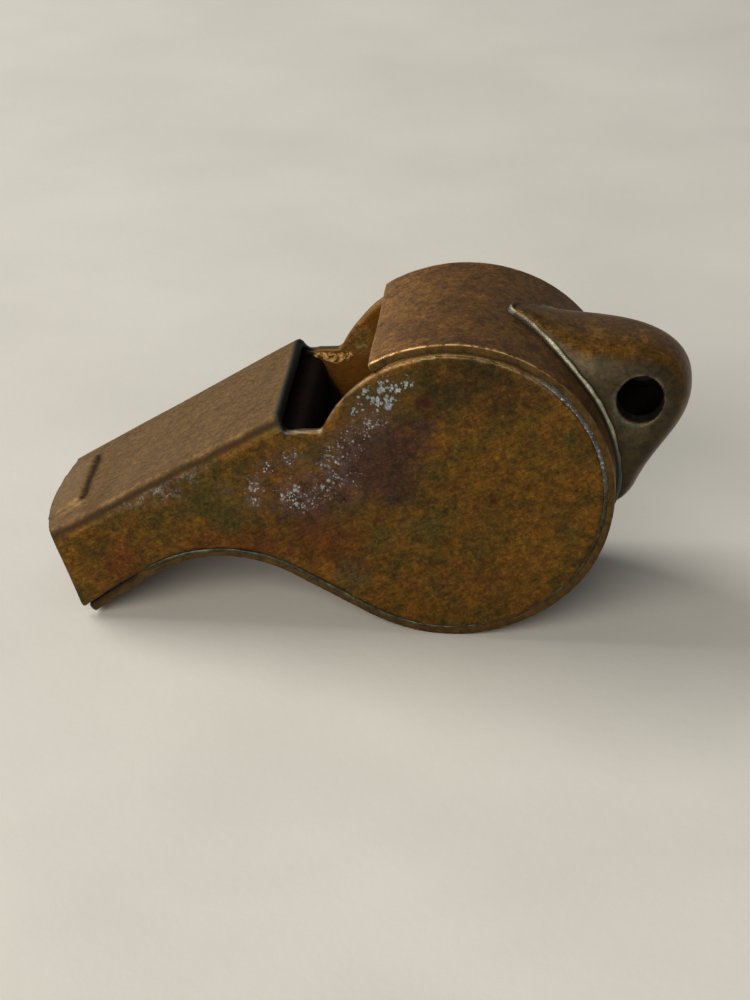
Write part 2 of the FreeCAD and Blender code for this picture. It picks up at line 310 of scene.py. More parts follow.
def rounded_strip(half, low, high):
    """Closed outline of a sheet's cross-section with round corners: across, and height."""
    r = max(min(EDGE_ROUND, (high - low) / 2 - 1e-3), 0.01)
    y = half - r
    corners = ((-y, high - r, 180), (y, high - r, 90), (y, low + r, 0), (-y, low + r, -90))
    loop = []
    for i, (across, height, start) in enumerate(corners):
        for a in np.radians(np.linspace(start, start - 90, CORNER_STEPS)):
            loop.append((across + r * math.cos(a), height + r * math.sin(a)))
        if i % 2 == 0:
            loop += [(c, loop[-1][1]) for c in np.linspace(across, -across, STRIP_STEPS)[1:-1]]
    return loop


def strap_mesh():
    """The strip round the drum and under the mouthpiece, with its ends and edges rounded."""
    rings = []
    points, normals, length = under_path(LIP_DEG)
    for p, n, s in zip(points, normals, length):
        gone = EDGE_ROUND - min(s, length[-1] - s, EDGE_ROUND)
        inset = EDGE_ROUND - math.sqrt(EDGE_ROUND ** 2 - gone ** 2)
        half = PLATE_HALF + TAPER * p[0] - STRAP_INSET - inset
        outline = rounded_strip(half, inset, STRAP_T - inset)
        rings.append([(p[0] + n[0] * h, y, p[1] + n[1] * h) for y, h in outline])
    return swept("strap", rings)


def seam_mesh(side):
    """Fillet of solder in the corner between one side plate's rim and the strap's edge."""
    points, normals, length = under_path(LIP_DEG - SEAM_LIP_DEG)
    end = length[-1] - OPEN_SEAM
    along = np.stack([points[:, 0], 0 * length + 9 * side, points[:, 1]], 1)
    lump = 1.0 + 0.14 * waves(along, 1.5, SEED + 31) + 0.08 * waves(along, 0.5, SEED + 32)
    size = lump * (0.4 + 0.6 * smoothstep(length, 0, 1.2) * smoothstep(end - length, 0, 0.8))
    size *= 1.0 + 0.8 * smoothstep(length, *SEAM_THICKER)
    wide = 1.0 + 0.45 * smoothstep(length, *SEAM_WIDER) * (1 - smoothstep(length, *SEAM_NARROWER))
    rings = []
    for i in np.flatnonzero(length < end):
        face = PLATE_HALF + TAPER * points[i, 0] - STRAP_INSET
        width, lift = SEAM_W * size[i] * wide[i], SEAM_T * size[i]
        outline = [(width * math.sin(t) ** 1.4, lift * math.cos(t) ** 1.4)
                   for t in np.linspace(0, math.pi / 2, 9)]
        outline += [(width * c, -SEAM_UNDER) for c in np.linspace(1, 0, 9)]
        ring = []
        for out, rise in outline:
            spot = points[i] + normals[i] * (out - SEAM_UNDER)
            ring.append((spot[0], side * (face + rise), spot[1]))
        rings.append(ring)
    return swept("seam", rings)


def smooth_loop(points, per_span):
    """Closed Catmull-Rom curve through the points."""
    points = np.array(points, float)
    rows = []
    for i in range(len(points)):
        p0, p1, p2, p3 = (points[(i + k) % len(points)] for k in (-1, 0, 1, 2))
        for t in np.arange(per_span) / per_span:
            bend = (2 * p0 - 5 * p1 + 4 * p2 - p3) * t ** 2 + (3 * p1 - p0 - 3 * p2 + p3) * t ** 3
            rows.append(0.5 * (2 * p1 + (p2 - p0) * t + bend))
    return np.array(rows)


def flange_height(out):
    """Height of the lug's flange over the strap, at a distance out from its ridge."""
    toe = 1 - smoothstep(out, 0.05, BEAD_REACH)
    return 0.1 * toe + BEAD_H * np.exp(-(out / BEAD_ROUND) ** 2) - 0.01


def flange_mesh():
    """The lug's soldered flange: a groove against the lug, then a raised ridge, round its foot."""
    near_side = [(deg * MM_PER_DEG, -half) for deg, half in FLANGE_RIDGE]
    far_side = [(s, -y) for s, y in near_side[-2:0:-1]]
    line = smooth_loop(near_side + far_side, 28)
    ahead = np.roll(line, -1, 0) - np.roll(line, 1, 0)
    ahead /= np.linalg.norm(ahead, axis=1)[:, None]
    lump = 1.0 + 0.12 * waves(np.c_[line, 0 * line[:, 0]], 1.6, SEED + 33)
    offsets = np.linspace(-BEAD_UNDER, BEAD_REACH, 23)
    outline = list(zip(offsets, flange_height(offsets))) + [(w, -0.05) for w in offsets[::-1]]
    rings = []
    for f, way, size in zip(line, ahead, lump):
        ring = []
        for w, h in outline:
            s, y = f[0] + way[1] * w, f[1] - way[0] * w
            spoke = heading(s / MM_PER_DEG) * (DRUM_R + h * size)
            ring.append((spoke[0], y, spoke[1]))
        rings.append(ring)
    return swept("flange", rings, closed=True)


# ---- where things are, for the masks -------------------------------------------------------------
def angle_of(co):
    """Degrees about the drum's axis, from +X towards +Z."""
    return np.degrees(np.arctan2(co[:, 2], co[:, 0]))


def plate_depth(co):
    """How far inside the outer face of the nearer side plate."""
    return PLATE_HALF + TAPER * co[:, 0] - np.abs(co[:, 1])


def top_depth(co):
    """How far below the mouthpiece top's outer face."""
    a = math.radians(TOP_DEG)
    return (co[:, 0] - TOP_END[0]) * math.sin(a) - (co[:, 2] - TOP_END[1]) * math.cos(a)


def top_back(co):
    """How far back from the window along the mouthpiece top."""
    a = math.radians(TOP_DEG)
    return -(co[:, 0] - TOP_END[0]) * math.cos(a) - (co[:, 2] - TOP_END[1]) * math.sin(a)


def from_notch(co):
    """Distance from the notch's floor, seen along Y."""
    start = np.array(TOP_END) - heading(TOP_DEG + 90) * NOTCH_DEPTH
    run = heading(NOTCH_DEG) * DISC_R - start
    gap = co[:, [0, 2]] - start
    share = np.clip(gap @ run / (run @ run), 0, 1)
    return np.linalg.norm(gap - share[:, None] * run, axis=1)


def touched(co, touches):
    """Soft round touches seen along Y: each is x, z, radius and strength."""
    total = np.zeros(len(co))
    for x, z, radius, strength in touches:
        total += strength * np.exp(-((co[:, 0] - x) ** 2 + (co[:, 2] - z) ** 2) / radius ** 2)
    return total


def scattered(seed, count, small, large):
    """Touches at random places along the side plate, from the drum's far side to the mouth."""
    rng = np.random.default_rng(seed)
    touches = []
    for _ in range(count):
        share = rng.uniform(0, 1)
        x, z = 5.0 - 28.0 * share, 2.0 - 6.0 * share
        spread = 5.0 - 3.5 * share
        touches.append((x + rng.normal() * 1.5, z + rng.uniform(-1, 1) * spread,
                        rng.uniform(small, large), rng.uniform(0.5, 1.0)))
    return touches


# ---- node materials -------------------------------------------------------------------------
def srgb(code):
    """A colour written as six hex digits, as linear values."""
    rgb = [int(code[i:i + 2], 16) / 255 for i in (0, 2, 4)]
    return [c / 12.92 if c <= 0.04045 else ((c + 0.055) / 1.055) ** 2.4 for c in rgb] + [1.0]


class Finish:
    """One material's node tree, with short names for the nodes it uses. Lengths are millimetres."""

    def __init__(self, name):
        self.material = bpy.data.materials.new(name)
        self.material.use_nodes = True
        self.tree = self.material.node_tree
        self.tree.nodes.clear()
        out = self.node("ShaderNodeOutputMaterial")
        self.shader = self.node("ShaderNodeBsdfPrincipled")
        self.join(self.shader.outputs[0], out.inputs["Surface"])
        place = self.node("ShaderNodeTexCoord").outputs["Object"]
        self.mm = self.vector("SCALE", place, scale=1 / MM)

    def node(self, kind):
        return self.tree.nodes.new(kind)

    def join(self, source, socket):
        if hasattr(source, "is_output"):
            self.tree.links.new(source, socket)
        else:
            socket.default_value = source

    def vector(self, operation, a, b=None, scale=None):
        n = self.node("ShaderNodeVectorMath")
        n.operation = operation
        self.join(a, n.inputs[0])
        if b is not None:
            self.join(b, n.inputs[1])
        if scale is not None:
            self.join(scale, n.inputs["Scale"])
        return n.outputs["Vector"]

    def math(self, operation, a, b=0.0, clamp=False):
        n = self.node("ShaderNodeMath")
        n.operation = operation
        n.use_clamp = clamp
        self.join(a, n.inputs[0])
        self.join(b, n.inputs[1])
        return n.outputs[0]

    def times(self, a, b):
        return self.math("MULTIPLY", a, b, clamp=True)

    def noise(self, scale, detail=5.0, rough=0.6, distort=0.0, shift=0.0, where=None, colour=False):
        n = self.node("ShaderNodeTexNoise")
        moved = self.vector("ADD", where or self.mm, (shift, shift * 0.7, -shift))
        self.join(moved, n.inputs["Vector"])
        self.join(scale, n.inputs["Scale"])
        self.join(detail, n.inputs["Detail"])
        self.join(rough, n.inputs["Roughness"])
        self.join(distort, n.inputs["Distortion"])
        return n.outputs["Color" if colour else "Fac"]

    def stretched(self, factors, turn_deg=0.0):
        """Coordinates turned about Y and then squeezed, so that noise on them runs in streaks."""
        turned = self.node("ShaderNodeMapping")
        self.join(self.mm, turned.inputs["Vector"])
        turned.inputs["Rotation"].default_value = (0, math.radians(turn_deg), 0)
        squeezed = self.node("ShaderNodeMapping")
        self.join(turned.outputs[0], squeezed.inputs["Vector"])
        squeezed.inputs["Scale"].default_value = factors
        return squeezed.outputs[0]

    def cells(self, scale, where, shift=0.0):
        """Distance to the nearest cell's centre, and two random values of that cell."""
        n = self.node("ShaderNodeTexVoronoi")
        self.join(self.vector("ADD", where, (shift, -shift, shift)), n.inputs["Vector"])
        self.join(scale, n.inputs["Scale"])
        split = self.node("ShaderNodeSeparateColor")
        self.join(n.outputs["Color"], split.inputs[0])
        return n.outputs["Distance"], split.outputs[0], split.outputs[1]

    def mask(self, value, low, high):
        n = self.node("ShaderNodeMapRange")
        n.interpolation_type = "SMOOTHSTEP"
        self.join(value, n.inputs["Value"])
        self.join(low, n.inputs["From Min"])
        self.join(high, n.inputs["From Max"])
        return n.outputs["Result"]

    def ramp(self, value, stops):
        n = self.node("ShaderNodeValToRGB")
        self.join(value, n.inputs[0])
        ramp = n.color_ramp
        while len(ramp.elements) < len(stops):
            ramp.elements.new(0.5)
        for element, (place, colour) in zip(ramp.elements, stops):
            element.position = place
            element.color = srgb(colour)
        return n.outputs[0]

    def mix(self, share, a, b, blend="MIX"):
        n = self.node("ShaderNodeMix")
        n.data_type = "RGBA"
        n.blend_type = blend
        self.join(share, n.inputs["Factor"])
        self.join(srgb(a) if isinstance(a, str) else a, n.inputs["A"])
        self.join(srgb(b) if isinstance(b, str) else b, n.inputs["B"])
        return n.outputs["Result"]

    def blend(self, share, a, b):
        """Mixes two numbers, where mix mixes two colours."""
        n = self.node("ShaderNodeMix")
        self.join(share, n.inputs["Factor"])
        self.join(a, n.inputs["A"])
        self.join(b, n.inputs["B"])
        return n.outputs["Result"]

    def painted(self, name):
        n = self.node("ShaderNodeAttribute")
        n.attribute_name = name
        return n.outputs["Fac"]

    def bump(self, height, distance, normal=None):
        n = self.node("ShaderNodeBump")
        n.inputs["Distance"].default_value = distance * MM
        self.join(height, n.inputs["Height"])
        if normal is not None:
            self.join(normal, n.inputs["Normal"])
        return n.outputs[0]

    def finish(self, colour, roughness, metallic, normal):
        for value, socket in ((colour, "Base Color"), (roughness, "Roughness"),
                              (metallic, "Metallic"), (normal, "Normal")):
            self.join(value, self.shader.inputs[socket])
        return self.material


class Patina(Finish):
    """Metal under a tarnish film: clouds of three tones, tints, mottle, grain, streaks and pits."""

    def __init__(self, name, tones, streak_deg=30.0, shift=0.0, tints=()):
        super().__init__(name)
        low, mid, high = tones
        cloud = self.noise(0.5, 10, 0.72, 0.5, shift=3.0 + shift)
        self.colour = self.ramp(cloud, ((0.38, low), (0.5, mid), (0.62, high)))
        for tint in tints:
            self.tint(*tint)
        self.mottle = self.noise(1.5, 9, 0.75, 0.4, shift=9.0 + shift)
        self.grain = self.noise(3.6, 7, 0.8, 0.2, shift=5.0 + shift)
        brushed = self.stretched((0.5, 5.0, 5.0), streak_deg)
        self.streak = self.noise(1.6, 5, 0.6, where=brushed, shift=shift)
        self.shade(self.ramp(self.mottle, ((0.34, "a8a49c"), (0.5, "dcdad6"), (0.66, "ffffff"))))
        self.shade(self.ramp(self.grain, ((0.34, "9a968e"), (0.5, "d4d2cc"), (0.64, "ffffff"))))
        self.shade(self.ramp(self.streak, ((0.34, "d8d5d0"), (0.6, "ffffff"))))
        pit = self.mask(self.noise(3.6, 4, 0.6, 0.3, shift=31.0 + shift), 0.61, 0.67)
        self.paint(self.times(pit, 0.55), "241a0e")
        self.rough = self.blend(self.mottle, 0.36, 0.6)
        self.metal = 0.8
        self.relief = [(self.mottle, 0.03), (self.grain, 0.012), (self.streak, 0.012)]

    def shade(self, tone):
        self.colour = self.mix(1.0, self.colour, tone, "MULTIPLY")

    def paint(self, share, colour):
        self.colour = self.mix(share, self.colour, colour)

    def tint(self, name, colour, strength, seed):
        """A painted area in another tone, broken up by noise."""
        broken = self.math("MULTIPLY", self.noise(0.8, 10, 0.75, 0.5, shift=seed), 1.6)
        amount = self.mask(self.math("ADD", self.times(self.painted(name), 0.85), broken), 0.95, 1.6)
        self.paint(self.times(amount, strength), colour)

    def crust(self, amount, colour, height):
        """A dry mineral film on top: no metal, rough, and raised."""
        self.paint(amount, colour)
        self.rough = self.blend(amount, self.rough, 0.9)
        self.metal = self.blend(amount, self.metal, 0.0)
        self.relief.append((amount, height))

    def done(self):
        normal = None
        for height, distance in self.relief:
            normal = self.bump(height, distance, normal)
        return self.finish(self.colour, self.rough, self.metal, normal)


def flakes(f, density, scale, fewest, shift=0.0):
    """Flakes of corrosion, more and larger where the density is high: amount, core and tint."""
    rough_place = f.noise(scale * 1.6, 8, 0.8, shift=2.0 + shift, colour=True)
    warp = f.vector("SCALE", f.vector("SUBTRACT", rough_place, (0.5, 0.5, 0.5)), scale=1.7 / scale)
    gap, chance, tint = f.cells(scale, f.vector("ADD", f.mm, warp), shift)
    reach = f.math("MULTIPLY", density, f.blend(f.mask(chance, fewest, 1.0), 0.02, 0.56))
    inside = f.math("SUBTRACT", reach, gap)
    return f.mask(inside, -0.02, 0.06), f.mask(inside, 0.05, 0.2), tint


# ---- floor, light and camera -------------------------------------------------------------------
CAMERA_AZ, CAMERA_EL, CAMERA_ROLL = -5.2, 26.1, -0.25     # degrees
CAMERA_FAR = 205.0                                        # millimetres from the drum's axis
CAMERA_LENS = 108.0
CAMERA_AIM = (-6.01, -3.84)                               # right of and above the drum's axis
LIGHT_AIM = (0, 0, 0.008)                                 # metres
FLOOR_HALF = 6.0                                          # metres


def make_camera():
    az, el, roll = (math.radians(a) for a in (CAMERA_AZ, CAMERA_EL, CAMERA_ROLL))
    back = Vector((-math.sin(az) * math.cos(el), -math.cos(az) * math.cos(el), math.sin(el)))
    level = Vector((math.cos(az), -math.sin(az), 0))
    upright = back.cross(level)
    right = level * math.cos(roll) + upright * math.sin(roll)
    up = upright * math.cos(roll) - level * math.sin(roll)
    data = bpy.data.cameras.new("camera")
    data.lens = CAMERA_LENS
    data.sensor_width = 36.0
    data.clip_start = 0.01
    data.clip_end = 20.0
    cam = linked("camera", data)
    centre = (DRUM + right * CAMERA_AIM[0] + up * CAMERA_AIM[1] + back * CAMERA_FAR) * MM
    cam.matrix_world = Matrix.Translation(centre) @ Matrix((right, up, back)).transposed().to_4x4()
    bpy.context.scene.camera = cam


def area_light(name, place, size, power, colour):
    data = bpy.data.lights.new(name, "AREA")
    data.shape = "RECTANGLE"
    data.size, data.size_y = size
    data.energy = power
    data.color = colour
    ob = linked(name, data)
    ob.location = place
    ob.rotation_mode = "QUATERNION"
    ob.rotation_quaternion = (Vector(LIGHT_AIM) - Vector(place)).to_track_quat("-Z", "Y")


def make_studio():
    mesh = bpy.data.meshes.new("floor")
    corners = [(x * FLOOR_HALF, y * FLOOR_HALF, 0) for x, y in ((-1, -1), (1, -1), (1, 1), (-1, 1))]
    mesh.from_pydata(corners, [], [(0, 1, 2, 3)])
    floor = linked("floor", mesh)
    f = Finish("floor")
    tone = f.ramp(f.noise(0.05, 3, 0.5), ((0.3, "aeaca4"), (0.7, "b6b4ac")))
    mesh.materials.append(f.finish(tone, 0.75, 0.0, f.bump(f.noise(1.2, 4, 0.6), 0.02)))

    world = bpy.data.worlds.new("studio")
    world.use_nodes = True
    sky = world.node_tree.nodes["Background"]
    sky.inputs["Color"].default_value = (0.90, 0.94, 1.0, 1.0)
    sky.inputs["Strength"].default_value = 0.2
    bpy.context.scene.world = world
    bpy.context.scene.view_settings.view_transform = "Standard"

    area_light("window", (-0.42, 0.16, 0.38), (0.42, 0.32), 4.1, (1.0, 0.97, 0.92))
    area_light("fill", (-0.16, -0.45, 0.26), (0.5, 0.28), 3.7, (1.0, 0.94, 0.86))


# ---- pieces -----------------------------------------------------------------------------------
def dress(name, mesh, material, node, body="whistle"):
    """Puts a finished mesh in the scene in place of its CAD node."""
    mesh.materials.append(material)
    ob = linked(name, mesh)
    for poly in mesh.polygons:
        poly.use_smooth = True
    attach(ob, body)
    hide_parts(node)


# Touches on the near side plate: x, z, radius and strength
PURPLE = (
    (-3.6, -0.5, 1.6, 0.6), (-6.0, 1.8, 2.4, 0.9), (-9.3, -0.9, 2.3, 0.8), (-4.4, 2.9, 2.4, 0.7),
    (-2.3, 4.6, 2.0, 0.5), (-12.5, -2.2, 1.8, 0.4), (-12.0, 1.4, 1.2, 0.5),
)
OLIVE = (
    (-2.0, -2.6, 1.8, 0.9), (-5.1, -3.4, 1.2, 0.7), (-6.9, -6.8, 1.8, 0.7), (-17.0, -1.0, 1.8, 0.8),
    (-15.0, -2.7, 1.5, 0.9), (-5.3, 3.4, 0.9, 0.9), (-3.4, 7.7, 1.2, 0.6), (-19.6, -3.2, 1.6, 0.5),
)
RUSSET = (
    (-9.5, -3.6, 2.6, 0.9), (-17.1, -4.7, 1.5, 0.9), (-13.9, -4.9, 1.8, 0.9), (-22.6, -6.6, 1.8, 0.9),
    (-13.0, 0.6, 1.6, 0.6), (-6.5, -5.5, 1.8, 0.5), (-9.6, 3.4, 1.0, 0.5), (1.5, -6.5, 2.5, 0.4),
)
AMBER = (
    (5.5, -2.5, 3.6, 0.8), (7.5, 2.5, 2.0, 0.5), (3.0, 4.5, 2.4, 0.5), (-11.4, 3.0, 1.3, 1.0),
    (-20.6, -4.8, 1.7, 0.8), (-2.5, -7.5, 2.5, 0.5), (-15.5, 0.6, 1.2, 0.5),
)
DUSK = ((0.7, 8.4, 3.0, 0.8), (4.2, 7.2, 2.2, 0.5), (-2.3, 6.0, 1.8, 0.4), (-19.4, -0.7, 1.5, 0.5))
FLAKES = (
    (-4.5, 7.2, 1.0, 1.0), (-5.9, 6.4, 0.9, 1.0), (-6.8, 5.4, 0.6, 0.9), (-4.7, 6.1, 0.8, 1.0),
    (-3.2, 7.6, 0.7, 0.6),
)
SPECKS = (
    (-5.6, 5.0, 1.2, 0.8), (-7.0, 3.5, 1.2, 0.85), (-8.4, 2.2, 1.0, 0.6), (-9.5, -0.6, 1.8, 0.65),
    (-11.2, -1.0, 1.0, 1.0), (-11.0, 2.0, 0.8, 0.9), (-13.5, -0.2, 0.7, 1.2),
    (-13.6, -1.5, 0.55, 1.0), (-12.6, 1.2, 0.6, 0.9), (-15.5, -0.6, 0.6, 0.6), (-7.5, 0.5, 1.7, 0.55),
    (-7.0, -6.5, 1.0, 0.4),
)
FOLD_CRUST = (
    (-22.3, -2.2, 0.5, 0.5), (-21.2, -1.7, 0.5, 0.6), (-20.0, -1.2, 0.6, 1.0),
    (-19.1, -0.7, 0.6, 1.0), (-18.0, 0.0, 0.5, 0.7), (-17.2, 0.9, 0.4, 0.5), (-18.6, 0.8, 0.25, 1.0),
)
RED_SPOTS = (
    (-2.0, 6.36, 0.36, 1.3), (-2.6, 6.5, 0.2, 0.9), (-1.3, 7.6, 0.22, 0.8), (2.5, -0.5, 0.3, 1.2),
    (0.0, 0.4, 0.15, 1.0), (1.2, -0.9, 0.12, 0.9), (-5.3, -2.3, 0.3, 0.5), (6.9, -2.2, 0.3, 0.4),
    (7.6, 0.57, 0.14, 0.8), (7.95, 0.57, 0.14, 0.8),
)
# Each mask's touches in front, then how many scattered ones it has behind, and their sizes
PLATE_MASKS = {
    "purple": (PURPLE, 3, 1.5, 2.5),
    "olive": (OLIVE, 6, 1.0, 2.0),
    "russet": (RUSSET, 6, 1.2, 2.5),
    "amber": (AMBER, 7, 1.5, 3.5),
    "dusk": (DUSK, 4, 1.0, 2.5),
    "flakes": (FLAKES, 3, 0.6, 1.0),
    "specks": (SPECKS, 7, 0.6, 1.5),
    "fold_crust": (FOLD_CRUST, 0, 0.5, 1.0),
    "red": (RED_SPOTS, 5, 0.12, 0.3),
}
# Corrosion on the far plate's inner face, round the window
OCHRE = (
    (-10.7, 3.45, 0.3, 1.0), (-10.0, 3.3, 0.4, 1.1), (-9.4, 3.15, 0.45, 1.1), (-8.8, 3.3, 0.4, 1.1),
    (-8.3, 3.5, 0.35, 1.0),
)
MOSS = ((-7.8, 4.6, 0.5, 1.0), (-7.3, 5.2, 0.4, 1.0), (-8.1, 4.1, 0.35, 0.8), (-7.4, 4.1, 0.5, 0.7))
# The windway floor's front as it meets the side plates: a point on it, and which way it faces
NOSE_POINT = (-10.05, 2.01)
NOSE_DEG = 31.1
NOSE_SET_BACK = ((-9.9, 2.4, 1.3, 0.45),)     # a touch where the floor's bend is pushed back
FILM = 0.22                # share of russet and of olive all over the side plates


def past_nose(co):
    """How far beyond the windway floor's front, into the drum."""
    facing = heading(NOSE_DEG)
    return (co[:, 0] - NOSE_POINT[0]) * facing[0] + (co[:, 2] - NOSE_POINT[1]) * facing[1]


def paint_saddle(mesh):
    """Masks for the saddle's finish. Each says where on the sheet one kind of wear or film lies."""
    co = coordinates(mesh)
    wear, crease_dark = edge_marks(mesh)
    depth, back, inside = top_depth(co), top_back(co), plate_depth(co)
    radius, angle = np.hypot(co[:, 0], co[:, 2]), angle_of(co)
    ragged = 0.15 * waves(co, 2.2, SEED + 11) + 0.08 * waves(co, 0.8, SEED + 12)

    # The side plates' outer faces
    outside = smoothstep(0.2 - inside, 0.0, 0.1)
    for name in ("russet_all", "olive_all"):
        store(mesh, name, np.full(len(co), FILM))
    for i, (name, (touches, *others)) in enumerate(PLATE_MASKS.items()):
        behind = touched(co, scattered(SEED + 50 + i, *others))
        store(mesh, name, outside * np.where(co[:, 1] < 0, touched(co, touches), behind))

    # The mouthpiece top, painted shade on the fold beside it, and its end at the window
    store(mesh, "top", 1 - smoothstep(depth + 0.4 * ragged, 0.1, 0.42))
    fold_shade = np.exp(-((depth + 0.4 * ragged - 0.32) / 0.3) ** 2)
    store(mesh, "fold_shade", fold_shade * (back > -0.1))
    store(mesh, "window_end", smoothstep(0.42 - back, 0, 0.2) * (depth < 1.4) * (back > -0.5))

    # Bare metal on the disc's rim, the notch's floor and the tooth grip, and a painted shade line
    # along the grip's step
    arc = smoothstep(angle, 30, 60) * (angle < 158)
    rim = 0.45 * np.exp(-((radius - DISC_R + 0.02) / 0.08) ** 2) * arc * (inside < 0.3)
    rim *= 1 - 0.5 * smoothstep(angle, 118, 128)
    grip = (back > 15.5) * (back < MOUTH_REACH - 0.3) * (depth < -0.1)
    store(mesh, "rub", np.maximum(rim, wear * (0.15 + 0.6 * grip)))
    notch = from_notch(co)
    store(mesh, "notch", np.exp(-((notch - 0.01) / 0.055) ** 2) * (inside < 0.3))
    across = np.maximum(np.abs(co[:, 1]) - GRIP_HALF + GRIP_CORNER, 0)
    behind = np.maximum(GRIP_BACK - back + GRIP_CORNER, 0)
    off = np.hypot(across, behind) + 0.4 * ragged - GRIP_CORNER
    on_top = (depth < 0.3) * (back < MOUTH_REACH - 0.5) * (inside > 0.8)
    store(mesh, "grip_step_shade", np.exp(-((off - 0.1) / 0.12) ** 2) * on_top)

    # Darker in the creases, what shows of the inner faces through the window, and painted shadow
    # inside the drum
    store(mesh, "crease_dark", crease_dark * (1 - 0.6 * (depth < 0.1)))
    edge = np.exp(-(notch / 0.25) ** 2)
    edge = np.maximum(edge, 0.6 * np.exp(-((radius - DISC_R) / 0.25) ** 2) * arc)
    store(mesh, "far_edge", edge * (co[:, 1] > 0) * (inside > 0.05))
    inner = smoothstep(inside, 0.3, 0.5) * smoothstep(depth, 0.4, 0.6)
    store(mesh, "inner", inner)
    store(mesh, "inner_shadow", inner * smoothstep(0.25 - past_nose(co) + 0.3 * ragged, 0, 0.25))
    far = inner * (co[:, 1] > 0)
    store(mesh, "ochre", far * touched(co, OCHRE))
    store(mesh, "moss", far * touched(co, MOSS))


# Each tint of the side plates: its mask, colour, strength and noise seed
PLATE_TINTS = (
    ("russet_all", "70400f", 0.5, 23.0),
    ("olive_all", "50501c", 0.5, 27.0),
    ("dusk", "33260f", 0.7, 41.0),
    ("amber", "8c6014", 0.5, 42.0),
    ("russet", "783c14", 0.6, 43.0),
    ("olive", "525020", 0.7, 44.0),
    ("purple", "4a302c", 0.8, 45.0),
)


def saddle_finish():
    """The saddle's layers, from the metal up: tints, top, painted shade on the folds, crust, bare
    edges, darker creases, painted shadow inside.
    """
    f = Patina("saddle_brass", ("584a16", "7a5814", "8e5e18"), tints=PLATE_TINTS)
    f.paint(f.times(f.painted("inner"), 0.8), "6e4410")
    paint_top(f)
    # Painted shade: a dark brown band along the fold where the top turns down
    f.paint(f.times(f.painted("fold_shade"), 0.85), "2c1c08")
    f.rough = f.blend(f.painted("fold_shade"), f.rough, 0.8)
    f.paint(f.times(f.painted("red"), 0.9), "340f08")
    corrode_plates(f)

    worn = f.mask(f.noise(1.1, 6, 0.7, shift=19.0), 0.38, 0.56)
    f.paint(f.times(f.painted("far_edge"), 0.75), "3c3418")
    f.paint(f.times(f.times(f.painted("rub"), worn), 0.9), "b89c74")
    # Darker in the creases, from the mesh's concavity
    f.paint(f.times(f.painted("crease_dark"), 0.8), "1c160c")
    sooty = f.mask(f.noise(1.5, 6, 0.7, shift=18.0), 0.25, 0.5)
    f.paint(f.times(f.painted("window_end"), f.blend(sooty, 0.75, 0.95)), "20211a")
    f.paint(f.times(f.painted("notch"), 0.9), "787260")
    # Painted shade: a thin dark line along the step of the raised tooth grip
    f.paint(f.times(f.painted("grip_step_shade"), 0.8), "281c0c")
    # Painted shadow: near black on the inner faces beyond the windway floor's front
    f.paint(f.times(f.painted("inner_shadow"), 0.96), "0a0503")
    moss = f.times(f.painted("moss"), f.mask(f.noise(2.4, 8, 0.75, 0.5, shift=54.0), 0.42, 0.6))
    f.crust(f.times(moss, 0.8), f.ramp(f.grain, ((0.35, "3a3810"), (0.6, "7a6c30"))), 0.06)
    dry = f.times(f.painted("ochre"), f.mask(f.noise(2.6, 9, 0.78, 0.5, shift=55.0), 0.3, 0.62))
    pale = f.ramp(f.grain, ((0.36, "6e4c1a"), (0.5, "a47c3c"), (0.62, "cca45c")))
    f.crust(f.mask(dry, 0.3, 0.6), pale, 0.08)
    return f.done()


def paint_top(f):
    """Dull handled brass on the mouthpiece top, with scratches along it."""
    along = f.stretched((0.25, 2.0, 2.0), -TOP_DEG)
    tone = f.ramp(f.noise(1.3, 9, 0.75, where=along, shift=6.0),
                  ((0.36, "4c3814"), (0.48, "6c4e20"), (0.62, "805e2a")))
    tone = f.mix(0.7, tone, f.ramp(f.grain, ((0.36, "8c887e"), (0.62, "ffffff"))), "MULTIPLY")
    top = f.painted("top")
    f.paint(top, tone)
    lines = f.noise(2.2, 3, 0.5, where=f.stretched((0.12, 3.5, 3.5), -TOP_DEG - 4), shift=17.0)
    f.paint(f.times(f.times(f.mask(lines, 0.58, 0.64), top), 0.7), "2c1e0c")


def corrode_plates(f):
    """Ash-grey and rusty crust under the fold, lilac specks, and pale green flakes."""
    band = f.painted("fold_crust")
    rusty = f.mask(f.noise(2.0, 8, 0.75, 0.4, shift=52.0), 0.46, 0.6)
    f.paint(f.times(f.times(band, rusty), 0.7), "6e4218")
    ashy = f.mask(f.noise(1.9, 9, 0.8, 0.4, shift=51.0), 0.48, 0.6)
    ash = f.ramp(f.grain, ((0.38, "3e3c34"), (0.5, "706e66"), (0.6, "9c9a90")))
    f.crust(f.times(f.times(band, ashy), 0.95), ash, 0.05)
    density = f.painted("specks")
    haze = f.mask(f.noise(1.6, 9, 0.75, shift=53.0), 0.4, 0.62)
    f.paint(f.times(f.times(density, haze), 0.6), "5c4a48")
    for scale, strength, shift in ((5.2, 0.85, 4.0), (3.4, 0.8, 12.0), (2.3, 0.55, 17.0)):
        amount, _, tint = flakes(f, density, scale, 0.2, shift)
        lilac = f.ramp(tint, ((0.2, "6c6460"), (0.6, "8e868a"), (0.9, "949c94")))
        f.crust(f.times(amount, strength), lilac, 0.05)
    density = f.painted("flakes")
    f.paint(f.times(density, 0.55), "2c2c1a")
    for scale, shift in ((1.75, 0.0), (3.2, 6.0)):
        amount, core, tint = flakes(f, density, scale, 0.0, shift)
        pale = f.ramp(tint, ((0.2, "8a8f88"), (0.6, "a4aba6"), (0.9, "858388")))
        pale = f.mix(f.times(core, 0.45), pale, "66726c")
        pale = f.mix(0.8, pale, f.ramp(f.grain, ((0.38, "7a7a74"), (0.58, "ffffff"))), "MULTIPLY")
        f.crust(f.times(amount, 0.95), pale, 0.08)


